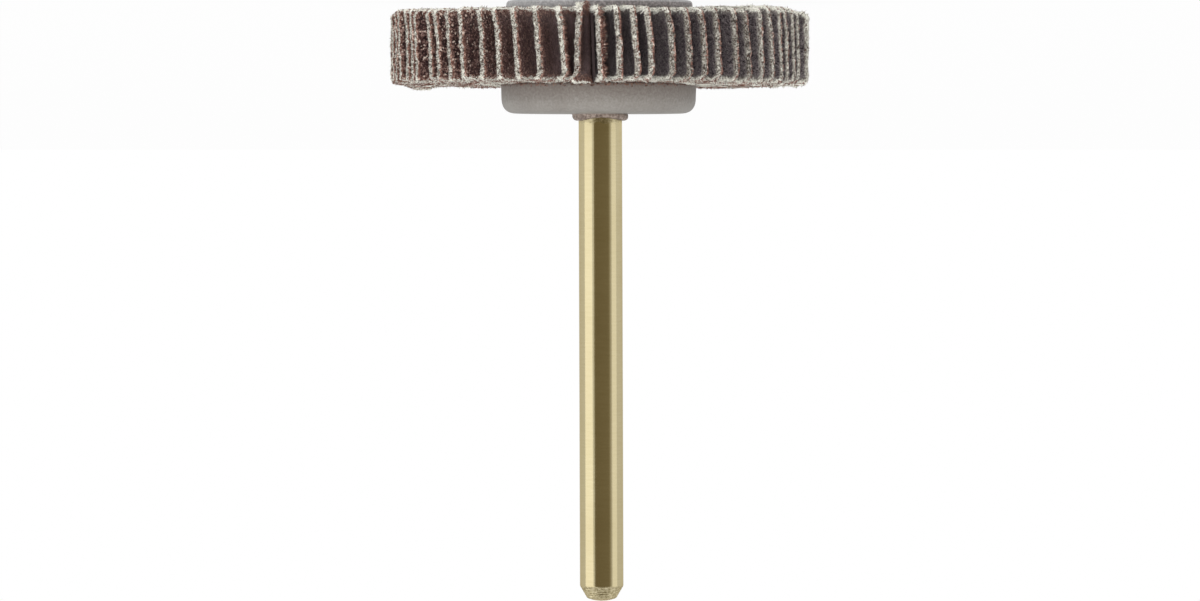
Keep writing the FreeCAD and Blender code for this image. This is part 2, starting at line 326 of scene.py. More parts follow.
def head_flange_colour(tree, x, z, fine):
    """Speckled grey, under painted shade that fades out towards +X and is weaker on the bevel."""
    rim_from = 0.00018  # the flange's own edge lies above this height, in metres
    speckled = ramp(tree, fine, (
        (0.34, (0.36, 0.352, 0.358)), (0.5, (0.452, 0.445, 0.455)), (0.66, (0.56, 0.552, 0.56)),
    ))
    painted_shade_grey = ramp(tree, fine, (
        (0.34, (0.14, 0.126, 0.126)), (0.5, (0.218, 0.196, 0.196)), (0.66, (0.35, 0.318, 0.312)),
    ))
    # painted shade: darkest towards -X, fading out towards +X, and weaker on the bevel
    beside = plus(tree, times(tree, x, 70.0), 0.5)
    shade_share = ramp(tree, beside, (
        (0.1, (0.95, 0.95, 0.95)), (0.36, (1, 1, 1)), (0.51, (0.95, 0.95, 0.95)),
        (0.63, (0.45, 0.45, 0.45)), (0.75, (0.2, 0.2, 0.2)), (0.9, (0, 0, 0)),
    ))
    on_rim = maths(tree, "GREATER_THAN", z, rim_from)
    shade_share = times(tree, shade_share, plus(tree, times(tree, on_rim, 0.62), 0.38))
    return mix(tree, shade_share, speckled, painted_shade_grey)


def resin_material():
    """Cast grey resin: matt and faintly cloudy, with painted shade next to the flaps, and brown in the bead.
    """
    material, tree, shader, place = new_material("cast_resin")
    cloud = noise(tree, place, 260.0, 3.0, 0.55)
    fine = noise(tree, place, 6500.0, 2.0, 0.6)
    level = weighted(tree, (cloud, 0.55), (fine, 0.45))
    grey = ramp(tree, level, (
        (0.3, (0.217, 0.197, 0.178)), (0.5, (0.27, 0.251, 0.229)), (0.72, (0.332, 0.315, 0.29)),
    ))
    x, _, z = taken_apart(tree, "ShaderNodeSeparateXYZ", place)
    head_top = 0.001  # between the head flange and the painted shade by the flaps, in metres
    in_head = maths(tree, "LESS_THAN", z, head_top)
    colour = mix(tree, in_head, flap_shade_and_crumbs(tree, place, z, fine, grey), head_flange_colour(tree, x, z, fine))
    mottle = noise(tree, place, 5200.0, 3.0, 0.75)
    brown = ramp(tree, mottle, (
        (0.34, (0.09, 0.062, 0.05)), (0.5, (0.245, 0.188, 0.156)), (0.66, (0.4, 0.328, 0.282)),
    ))
    tree.links.new(mix(tree, attribute(tree, "bead"), colour, brown), shader.inputs["Base Color"])
    set_inputs(shader, {"Roughness": 0.55, "Specular IOR Level": 0.4})
    bump(tree, shader, level, 0.25, 0.00004)
    return material


def brass_material():
    """Drawn brass-coloured metal with faint lines round it, and a blotchy darker, rougher band next to the
    bead.
    """
    material, tree, shader, place = new_material("drawn_brass")
    stretched = tree.nodes.new("ShaderNodeMapping")
    set_inputs(stretched, {"Scale": (1.0, 1.0, 9.0)})
    tree.links.new(place, stretched.inputs["Vector"])
    lines = noise(tree, stretched.outputs[0], 900.0, 4.0, 0.6)
    stain = noise(tree, place, 180.0, 3.0, 0.6)
    level = weighted(tree, (lines, 0.5), (stain, 0.5))
    colour = ramp(tree, level, (
        (0.3, (0.52, 0.445, 0.262)), (0.5, (0.56, 0.484, 0.295)), (0.72, (0.605, 0.53, 0.335)),
    ))
    bead_top = 0.00834  # height in metres
    z = taken_apart(tree, "ShaderNodeSeparateXYZ", place)[2]
    # a blotchy darker, rougher band on the shank next to the bead
    past_bead = times(tree, minus(tree, z, bead_top), 6500.0)
    blotch = times(tree, minus(tree, noise(tree, place, 2400.0, 3.0, 0.7), 0.5), 3.5)
    band_by_bead = minus(tree, plus(tree, blotch, 1.2), past_bead)
    band_by_bead = maths(tree, "MAXIMUM", maths(tree, "MINIMUM", band_by_bead, 0.85), 0.0)
    lead = maths(tree, "MAXIMUM", attribute(tree, "lead"), band_by_bead)
    torn = ramp(tree, noise(tree, place, 5600.0, 3.0, 0.75), (
        (0.34, (0.3, 0.25, 0.14)), (0.5, (0.49, 0.42, 0.25)), (0.66, (0.74, 0.66, 0.45)),
    ))
    tree.links.new(mix(tree, lead, colour, torn), shader.inputs["Base Color"])
    set_inputs(shader, {"Metallic": 1.0, "Specular Tint": (0.82, 0.76, 0.62, 1)})
    rough = plus(tree, times(tree, level, 0.06), 0.09)
    rough = plus(tree, rough, times(tree, lead, 0.22))
    tree.links.new(rough, shader.inputs["Roughness"])
    bump(tree, shader, lines, 0.018, 0.00002)
    return material


GRIT = grit_material()
CLOTH = cloth_material()
FLUFF = fluff_material()
RESIN = resin_material()
BRASS = brass_material()


# Mesh helpers
def into_scene(name, data):
    """An object made from a mesh, a lamp or a camera."""
    item = bpy.data.objects.new(name, data)
    bpy.context.scene.collection.objects.link(item)
    return item


def make_object(name, points, faces, materials, face_material=None, flat=None, values=None):
    """A mesh object from points in millimetres. values are named numbers for each point."""
    mesh = bpy.data.meshes.new(name)
    mesh.from_pydata((np.asarray(points) * MM).tolist(), [], faces)
    for material in materials:
        mesh.materials.append(material)
    if face_material is not None:
        mesh.polygons.foreach_set("material_index", np.asarray(face_material, np.int32))
    shade = np.ones(len(mesh.polygons), bool)
    if flat is not None:
        shade &= ~np.asarray(flat, bool)
    mesh.polygons.foreach_set("use_smooth", shade)
    for key, numbers in (values or {}).items():
        layer = mesh.attributes.new(key, "FLOAT", "POINT")
        layer.data.foreach_set("value", np.asarray(numbers, np.float32))
    mesh.update()
    return into_scene(name, mesh)


def lathe(name, profile, segments, materials, wobble=None, values=None, shift=None):
    """Turns a closed profile of (radius, z) points, whose ends are on the axis, round Z.

    shift moves each height a little along X, as a casting or a pin that is out of true.
    """
    turn = np.linspace(0, 2 * math.pi, segments, endpoint=False)
    inner = np.array(profile[1:-1])
    radius = np.repeat(inner[:, :1], segments, axis=1)
    height = np.repeat(inner[:, 1:], segments, axis=1)
    around = np.repeat(turn[None, :], len(inner), axis=0)
    if wobble is not None:
        radius, height = wobble(radius, height, around)
    ring = np.stack((radius * np.cos(around), radius * np.sin(around), height), axis=-1).reshape(-1, 3)
    first = np.array([[0, 0, profile[0][1]]])
    last = np.array([[0, 0, profile[-1][1]]])
    points = np.concatenate((ring, first, last))
    if shift is not None:
        points[:, 0] += shift(points[:, 2])
    rows, faces = len(inner), []
    for row in range(rows - 1):
        for step in range(segments):
            after = (step + 1) % segments
            faces.append((row * segments + step, row * segments + after,
                          (row + 1) * segments + after, (row + 1) * segments + step))
    for step in range(segments):
        after = (step + 1) % segments
        faces.append((rows * segments, after, step))
        faces.append((rows * segments + 1, (rows - 1) * segments + step, (rows - 1) * segments + after))
    numbers = {key: rule(points) for key, rule in (values or {}).items()}
    return make_object(name, points, faces, materials, values=numbers)


def rounded(corner, before, after, size, steps):
    """Points of an arc that rounds a profile's corner, size away from it on both sides."""
    corner, before, after = (np.array(p, float) for p in (corner, before, after))
    start = corner + (before - corner) / np.linalg.norm(before - corner) * size
    end = corner + (after - corner) / np.linalg.norm(after - corner) * size
    t = np.linspace(0, 1, steps + 1)[:, None]
    return [tuple(p) for p in (1 - t) ** 2 * start + 2 * t * (1 - t) * corner + t**2 * end]


# Hub and shank
def along(start, end, count):
    """Points between two profile points, without the ends."""
    (r, z), (end_r, end_z) = start, end
    return [(r + (end_r - r) * t, z + (end_z - z) * t) for t in np.linspace(0, 1, count + 2)[1:-1]]


def make_hub():
    """The cast hub: bevelled head flange, core, rounded drive flange and an uneven bead round the shank."""
    head, head_face, core = 6.45, 6.424, 6.2
    drive, drive_face = 6.75, 6.678
    low_z, high_z, top_z, bead_z = 0.75, 5.75, 7.8, 8.3
    bead, inside = 1.93, 1.46
    profile = [(0.0, 0.0)]
    profile += along((0.0, 0.0), (head_face, 0.0), 6)
    profile += rounded((head_face, 0.0), (0.0, 0.0), (head, low_z), 0.3, 6)
    profile += [(head, low_z), (core, low_z)]
    profile += along((core, low_z), (core, high_z), 3)
    profile += [(core, high_z), (drive, high_z)]
    profile += along((drive, high_z), (drive_face, top_z), 9)[:5]
    profile += rounded((drive_face, top_z), (drive, high_z), (0.0, top_z), 1.0, 12)
    profile += along((drive_face - 1.2, top_z), (bead + 0.4, top_z), 8)
    profile += rounded((bead, top_z), (drive_face, top_z), (bead, bead_z), 0.07, 3)
    profile += rounded((bead, bead_z), (bead, top_z), (inside, bead_z), 0.32, 8)
    profile += [(inside, bead_z - 0.02), (inside - 0.1, bead_z - 0.3), (0.0, bead_z - 0.3)]

    def wobble(radius, height, around):
        """A cast skin that isn't quite true, and a bead that was run round the shank by hand."""
        near_bead = smooth(height, top_z + 0.02, top_z + 0.12) * smooth(radius, 1.3, 1.5)
        beyond = smooth(height, top_z + 0.05, bead_z)
        swell = 0.035 * field(around * 2.2, 0.5, 5) + 0.03 * field(around * 7.0, height * 4, 6)
        facing = np.maximum(0, -np.sin(around)) ** 3
        level = 0.05 * field(around * 1.6, 1.5, 7) + 0.045 * field(around * 6.0, 2.5, 8) - 0.2 * facing
        skin = 0.006 * field(around * 9, height * 1.5, 9)
        wide = smooth(radius, 5.0, 6.0)
        return radius + near_bead * swell + skin * wide, height + near_bead * beyond * level

    def bead_value(points):
        far = np.hypot(points[:, 0], points[:, 1])
        return smooth(points[:, 2], top_z - 0.01, top_z + 0.06) * (1 - smooth(far, 2.2, 2.6))

    def shift(z):
        """The head flange and the bead sit a little aside of the drive flange."""
        return 0.07 - 0.13 * smooth(z, top_z - 0.02, top_z + 0.1) - 0.05 * (1 - smooth(z, 0.7, 5.7))

    piece = lathe("hub_casting", profile, 176, [RESIN], wobble, {"bead": bead_value}, shift)
    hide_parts("hub")
    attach(piece, "root")


def make_shank():
    """The drawn pin, a hair out of true in the hub, with tool marks on its lead and end."""
    radius, head_z, end_z = 1.505, 1.45, SHANK_END
    lead_z, lead_r, dome = end_z - 1.04, 1.0, 0.18
    profile = [(0.0, head_z), (radius - 0.2, head_z), (radius, head_z + 0.2)]
    profile += along((radius, head_z + 0.2), (radius, lead_z), 14)
    profile += rounded((radius, lead_z), (radius, head_z), (lead_r, end_z - dome), 0.05, 3)
    profile += along((radius - 0.03, lead_z + 0.05), (lead_r + 0.04, end_z - dome - 0.06), 40)
    profile += rounded((lead_r, end_z - dome), (radius, lead_z), (0.6, end_z - 0.06), 0.06, 4)
    sphere = (lead_r**2 + dome**2) / (2 * dome)
    for r in np.linspace(lead_r - 0.07, 0.05, 24):
        profile.append((r, end_z - sphere + math.sqrt(sphere**2 - r**2)))
    profile.append((0.0, end_z))

    def wobble(r, height, around):
        """Fine broken ridges that the turning tool left on the lead and the end."""
        turned = smooth(height, lead_z + 0.02, lead_z + 0.06)
        broken = 0.55 + 0.45 * field(around * 2.3, height * 6, 15)
        ridge = 0.014 * np.sin((height + 0.02 * field(around * 3, 1.5, 14)) * 2 * math.pi / 0.17) * broken
        ring = 0.01 * np.sin(r * 2 * math.pi / 0.17) * (1 - smooth(r, 0.9, 1.0)) * turned
        true = 0.003 * field(around * 1.3, height * 0.25, 12)
        return r + ridge * turned * smooth(r, 1.0, 1.1) + true, height + ring

    def lead_value(points):
        return smooth(points[:, 2], lead_z - 0.01, lead_z + 0.03)

    piece = lathe("shank_pin", profile, 160, [BRASS], wobble, {"lead": lead_value},
                  shift=lambda z: -0.045 - 0.0031 * (z - 8.3))
    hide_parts("shank")
    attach(piece, "root")


# Flaps
def graded(*runs):
    """Places along a line: each run is (start, end, steps)."""
    places = [np.linspace(a, b, n, endpoint=False) for a, b, n in runs]
    return np.concatenate(places + [[runs[-1][1]]])


class Lattice:
    """The outer skin of ni x nj x nk cells: along the flap, through it and across the wheel's width."""

    def __init__(self, ni, nj, nk):
        i, j, k = np.meshgrid(range(ni + 1), range(nj + 1), range(nk + 1), indexing="ij")
        skin = (i == 0) | (i == ni) | (j == 0) | (j == nj) | (k == 0) | (k == nk)
        number = -np.ones(skin.shape, int)
        number[skin] = np.arange(skin.sum())
        self.i, self.j, self.k = i[skin], j[skin], k[skin]
        self.faces, self.side, self.layer = [], [], []

        def patch(grid, side, flip, layer=None):
            a, b, c, d = grid[:-1, :-1], grid[1:, :-1], grid[1:, 1:], grid[:-1, 1:]
            quads = np.stack((a, d, c, b) if flip else (a, b, c, d), axis=-1).reshape(-1, 4)
            self.faces.append(quads)
            self.side += [side] * len(quads)
            self.layer += [0] * len(quads) if layer is None else layer.reshape(-1).tolist()

        through = np.arange(nj)
        patch(number[:, 0, :], "grain", False)
        patch(number[:, nj, :], "back", True)
        patch(number[0, :, :], "root", True, np.repeat(through[:, None], nk, 1))
        patch(number[ni, :, :], "tip", False, np.repeat(through[:, None], nk, 1))
        patch(number[:, :, 0], "low", True, np.repeat(through[None, :], ni, 0))
        patch(number[:, :, nk], "high", False, np.repeat(through[None, :], ni, 0))
        self.faces = np.concatenate(self.faces)
        self.side = np.array(self.side)
        self.layer = np.array(self.layer)


ALONG = graded((0.0, 2.6, 2), (2.6, 6.6, 6), (6.6, 8.1, 10), (8.1, 8.75, 8))
THROUGH = np.array([-1.0, -0.48, 0.05, 0.55, 1.0])
ACROSS = graded((0.0, 0.5, 5), (0.5, 4.5, 34), (4.5, 5.0, 5))
BLOCK = Lattice(len(ALONG) - 1, len(THROUGH) - 1, len(ACROSS) - 1)
HALF = FLAP_THICKNESS / 2
LENGTH = ALONG[-1]
LOW_CORNER, HIGH_CORNER = 0.5, 0.28  # how far a flap's two tip corners are rounded
GRAIN, BACKING, THREAD = 0, 1, 2  # the places of a flap's three materials in its list


# How much further out a flap's cut edge stands: the edge by the head flange, and the other one
LOW_EXTRA = {
    9: 0.06, 10: 0.12, 11: 0.22, 12: 0.24, 13: 0.2, 14: 0.2, 15: 0.12, 56: -0.06, 57: 0.0, 58: 0.12,
    59: 0.16, 60: 0.12, 61: 0.12, 62: 0.1, 63: 0.06, 71: 0.14,
}
HIGH_EXTRA = {13: 0.06, 60: 0.06}
# Bulges of the edge by the drive flange: place along the flap, spread, height
BULGES = {54: (6.5, 1.15, 0.4), 55: (6.3, 1.0, 0.3), 56: (6.9, 0.7, 0.16), 9: (8.0, 0.25, 0.12)}
PALE_BACK = (17, 18, 19)  # flaps whose cloth is frayed further in from the tip
DULL = range(4, 10)  # flaps whose thread is duller than the others'
BROWN_EDGE = range(12, 60)  # flaps with more grain caught in the edge by the drive flange
TRIM = 0.1  # the cloth is this much short of the flap's outline, which its frayed thread fills
HIGH_TRIM = 0.02  # the same for the edge by the drive flange
# Flaps whose corner by the drive flange is bent over towards the cloth's back
HOOKED = (*range(2, 18), 69, 70, 71)
FRONT = (*range(0, 19), *range(55, 72))  # flaps whose other corner is bent over too, and which lean more
UPRIGHT = (1, 2, 3)  # flaps in front whose other corner is hardly bent
# How far a flap stands aside at the tip and half-way to it, its corner's bend, its tilt and the strength of
# the painted light in its deep part
SHIFTED = {0: (0.04, -0.31, 0.05, 0.08, 0.0), 71: (-0.03, -0.05, 0.0, -0.2, 1.2)}
GRITTY = (71,)  # flaps with grain instead of thread at both edges of their grain face
FUZZY_BACK = range(1, 12)  # flaps with a wider row of loose thread along the tip, on the cloth's back
LIGHT_THREAD = (11, *range(54, 71))  # flaps with lighter and cleaner thread along the tip
NEAR_HEAD = (*range(0, 9), *range(63, 72))  # flaps that reach a little further over the head flange
SQUARE = (*range(16, 21), *range(50, 61))  # flaps whose corner by the head flange is rounded less
FAR = range(19, 54)  # flaps whose edge by the drive flange stands a little further out
# Long bristles at the tip: least length, most length, count
BRUSHED = {0: (0.18, 0.52, 190), 70: (0.1, 0.24, 110), 69: (0.08, 0.2, 90)}
LIGHT_TIP = range(15, 22)  # flaps with little grain left along the tip


class Flap:
    """One flap's shape: its bend, and the way its edges wander."""

    def __init__(self, number):
        self.number = number
        self.seed = 100 + 17 * (number % 997)
        self.rng = np.random.default_rng(self.seed)
        draw = self.rng.uniform
        drift = TIP_DRIFT[(number - FIRST_TIP) % len(TIP_DRIFT)] / 10
        angle = -drift * PITCH
        tip_x, tip_y = WHEEL_R * math.cos(angle), WHEEL_R * math.sin(angle)
        self.reach, self.tip_y = tip_x - BEND_R, tip_y
        self.turn = -math.pi / 2 - (number - FLAP_PHASE) * PITCH
        self.straight = BEND_R - ROOT_R
        self.free = math.hypot(self.reach, tip_y)
        self.run = self.straight + self.free - TRIM
        low_extra = LOW_EXTRA.get(number, 0.08 if number in NEAR_HEAD else 0.0)
        high_extra = HIGH_EXTRA.get(number, 0.1 if number in FAR else 0.0)
        self.low_off = draw(-0.12, 0.06) + low_extra
        self.high_off = draw(-0.12, 0.04) + high_extra
        self.pale = draw(-0.08, 0.05) - (0.16 if number in DULL else 0.0)
        self.hook = draw(0.22, 0.4) if number in HOOKED else draw(0.0, 0.12)
        self.low_hook = draw(0.04, 0.2) if number in FRONT else draw(0.0, 0.12)
        if number in UPRIGHT:
            self.low_hook *= 0.1
        self.tilt = draw(0.06, 0.14) if number in FRONT else draw(-0.04, 0.06)
        self.low_corner = HIGH_CORNER if number in SQUARE else LOW_CORNER
        self.glint_paint_share = np.interp(number, (64, 68), (1.0, 0.3))  # the painted glints are fainter on the flaps in front
        as_drawn = (0.0, 0.0, self.low_hook, self.tilt, 1.0)
        self.tip_shift, self.bow, self.low_hook, self.tilt, self.deep_light_paint = SHIFTED.get(number, as_drawn)

    def place(self, s, v, w):
        """From (along, through -1 to 1, across) to the row frame, with the wandering of the edges."""
        seed = self.seed
        near_tip = smooth(s, LENGTH - 1.6, LENGTH)
        near_low, near_high = 1 - smooth(w, 0.0, 0.8), smooth(w, WHEEL_WIDTH - 0.8, WHEEL_WIDTH)
        outer = smooth(s, 1.5, LENGTH)
        # rounded tip corners
        s2, w2 = s, w
        for size, from_edge, sign in ((self.low_corner, w, -1.0), (HIGH_CORNER, WHEEL_WIDTH - w, 1.0)):
            a = np.clip((s - (LENGTH - size)) / size, 0, 1)
            b = np.clip((size - from_edge) / size, 0, 1)
            s2 = s2 - size * a * (1 - np.sqrt(1 - b * b / 2))
            w2 = w2 - sign * size * b * (1 - np.sqrt(1 - a * a / 2))
        w2 = TRIM + w2 * (WHEEL_WIDTH - TRIM - HIGH_TRIM) / WHEEL_WIDTH
        # the cut edges wander
        s2 = s2 + near_tip * (0.05 * field(w * 1.7, v * 0.6, seed)
                              + 0.035 * field(w * 6.0, v * 1.2, seed + 1))
        w2 = w2 + near_low * (-self.low_off + 0.06 * field(s * 1.3, v * 0.6, seed + 2)
                              + 0.04 * field(s * 5.0, v * 1.2, seed + 3))
        w2 = w2 + near_high * (self.high_off + 0.06 * field(s * 1.3, v * 0.6, seed + 4)
                               + 0.04 * field(s * 5.0, v * 1.2, seed + 5))
        if self.number in BULGES:
            at, spread, height = BULGES[self.number]
            w2 = w2 + near_high * height * np.exp(-np.abs((s - at) / spread) ** 3)
        side = 0.075 * field(w * 0.45, 0.3, seed + 6) + 0.03 * field(w * 2.1, s * 0.8, seed + 7)
        side = side + self.hook * smooth(w, WHEEL_WIDTH - 0.75, WHEEL_WIDTH) ** 1.5
        side = side + self.low_hook * (1 - smooth(w, 0.0, 2.0)) ** 1.5
        side = side + self.tilt * (1 - 2 * w / WHEEL_WIDTH) + self.tip_shift
        side = outer * side + self.bow * np.sin(math.pi * np.clip(s / LENGTH, 0, 1)) ** 2
        swell = 0.84 + 0.08 * near_tip * field(w * 2.5, 0.7, seed + 8)
        off = v * HALF * swell + side
        # straight out of the hub, then bent over near it and leaning from there to the tip
        t = np.clip(s2 * (self.run / LENGTH) - self.straight, 0, None) / self.free
        inside = np.minimum(s2 * (self.run / LENGTH), self.straight)
        arm = np.sqrt(t * t + BEND_SHARE**2)
        scale = self.tip_y / (math.hypot(1, BEND_SHARE) - BEND_SHARE)
        angle = np.arctan(scale * t / arm / self.reach)
        x = ROOT_R + inside + self.reach * t
        y = scale * (arm - BEND_SHARE)
        x = x - np.sin(angle) * off
        y = y + np.cos(angle) * off
        y = y + math.tan(FLAP_LEAN) * (WHEEL_WIDTH / 2 - w2)
        c, d = math.cos(self.turn), math.sin(self.turn)
        return np.stack((x * c - y * d, x * d + y * c, FLAP_Z + w2), axis=-1)


def unit(vectors):
    return vectors / np.linalg.norm(vectors, axis=1)[:, None]


def skin_points(flap):
    s, v, w = ALONG[BLOCK.i], THROUGH[BLOCK.j], ACROSS[BLOCK.k]
    at = flap.place(s, v, w)
    step = 0.02
    ds = flap.place(s + step, v, w) - at
    dv = flap.place(s, v + step / HALF, w) - at
    dw = flap.place(s, v, w + step) - at
    ds, dv, dw = unit(ds), unit(dv), unit(dw)
    outward = np.zeros_like(at)
    ni, nj, nk = len(ALONG) - 1, len(THROUGH) - 1, len(ACROSS) - 1
    outward += np.where((BLOCK.i == ni)[:, None], ds, 0)
    outward += np.where((BLOCK.j == nj)[:, None], dv, 0) - np.where((BLOCK.j == 0)[:, None], dv, 0)
    outward += np.where((BLOCK.k == nk)[:, None], dw, 0) - np.where((BLOCK.k == 0)[:, None], dw, 0)
    outward /= np.maximum(np.linalg.norm(outward, axis=1), 1e-6)[:, None]
    cut = (BLOCK.i == ni) | (BLOCK.k == 0) | (BLOCK.k == nk)
    rough = flap.rng.uniform(-1, 1, len(at)) * np.where(cut, 0.04, 0.024)
    rough *= smooth(s, 0.8, 1.6)
    return at + outward * rough[:, None]


def fray_of(edge, reach):
    return np.clip(1 - edge / reach, 0, 1)


def lean(flap, ahead, root, s, v, w, tilt, away):
    """Tilts fibres at random. With away, none leans out over the grain side."""
    ahead = ahead + flap.rng.normal(0, 1, ahead.shape) * tilt
    if away:
        through = unit(flap.place(s, v + 0.2, w) - root)
        share = np.sum(ahead * through, axis=1)
        ahead = ahead + through * np.where(share < 0, -1.7 * share, 0)[:, None]
    return unit(ahead)


AIM = 0.05  # how far along the skin a fibre's direction is measured
FOOT_DEPTH = 0.05  # how deep a fibre's foot lies under the skin
THIRDS = (0, 2 * math.pi / 3, 4 * math.pi / 3)


def fibre_starts(flap, s, v, w, toward, tilt, away):
    """Where fibres leave the skin, and which way each of them points."""
    root = flap.place(s, v, w)
    ahead = flap.place(s + toward[0] * AIM, v + toward[1] * AIM / HALF, w + toward[2] * AIM) - root
    return root, lean(flap, unit(ahead), root, s, v, w, tilt, away)


def across_fibres(flap, ahead):
    """Two directions square to each fibre, at a random turn."""
    one = unit(np.cross(ahead, flap.rng.normal(0, 1, ahead.shape)))
    return one, np.cross(ahead, one)


def three_corners(centre, one, two, width):
    return [centre + (one * math.cos(turn) + two * math.sin(turn)) * width[:, None] for turn in THIRDS]


def fibre_mesh(corners, shape):
    """Points and faces of many fibres: their corners in order, and the faces of one of them."""
    points = np.stack(corners, axis=1).reshape(-1, 3)
    start = np.arange(len(corners[0]))[:, None] * len(corners)
    return points, np.concatenate([start + np.array(face)[None, :] for face in shape])


def spikes(flap, s, v, w, toward, length, width, tilt, away):
    """Thin four-sided fibres: straight closed spikes that stand on the skin."""
    root, ahead = fibre_starts(flap, s, v, w, toward, tilt, away)
    one, two = across_fibres(flap, ahead)
    foot = three_corners(root - ahead * FOOT_DEPTH, one, two, width)
    top = root + ahead * length[:, None]
    return fibre_mesh(foot + [top], ((0, 1, 3), (1, 2, 3), (2, 0, 3), (0, 2, 1)))


def curls(flap, s, v, w, toward, length, width, tilt, away):
    """Bent fibres: two straight steps and a point."""
    root, ahead = fibre_starts(flap, s, v, w, toward, tilt, away)
    later = unit(ahead + flap.rng.normal(0, 1, ahead.shape) * 0.8)
    one, two = across_fibres(flap, ahead)
    middle = root + ahead * (length * 0.5)[:, None]
    top = middle + later * (length * 0.55)[:, None]
    foot_corners = three_corners(root - ahead * FOOT_DEPTH, one, two, width)
    middle_corners = three_corners(middle, one, two, width * 0.8)
    return fibre_mesh(foot_corners + middle_corners + [top], (
        (0, 1, 4), (0, 4, 3), (1, 2, 5), (1, 5, 4), (2, 0, 3), (2, 3, 5), (3, 4, 6), (4, 5, 6), (5, 3, 6),
        (0, 2, 1),
    ))


def outward_sample(rng, count, power):
    """Places along the flap, more of them towards the tip."""
    return 1.2 + (LENGTH - 1.2) * rng.uniform(0, 1, count) ** power


# Loose tufts: the flap, the place along it and its spread, the place across it and its spread, the
# place through it, the direction, the material, the count, the lengths and the tones
TUFTS = (
    (71, (7.6, 0.7), (0.02, 0.08), -0.97, (0.0, -1.0, -0.5), GRAIN, 110, (0.16, 0.44), (0.5, 1.0)),
    (71, (5.4, 1.1), (-0.04, 0.08), -0.85, (0.0, -0.8, -0.7), GRAIN, 130, (0.18, 0.46), (0.5, 1.0)),
    (71, (7.00, 1.2), (-0.04, 0.08), -0.4, (0.0, -0.5, -0.9), THREAD, 60, (0.16, 0.4), (0.4, 1.1)),
    (71, (3.2, 0.9), (0.00, 0.08), -0.8, (0.0, -0.6, -0.8), GRAIN, 110, (0.14, 0.36), (0.5, 1.0)),
    (71, (8.4, 0.25), (0.00, 0.06), 0.4, (0.2, 0.4, -0.9), THREAD, 80, (0.12, 0.34), (0.8, 1.3)),
    (71, (6.2, 1.6), (5.02, 0.03), -0.5, (0.0, -0.5, 0.8), THREAD, 170, (0.08, 0.2), (0.9, 1.4)),
    (54, (6.6, 0.75), (5.00, 0.04), 0.2, (0.6, 0.2, 0.5), THREAD, 90, (0.08, 0.18), (0.7, 1.0)),
    (55, (6.3, 0.7), (5.00, 0.04), 0.2, (0.6, 0.2, 0.5), THREAD, 70, (0.08, 0.18), (0.7, 1.0)),
)


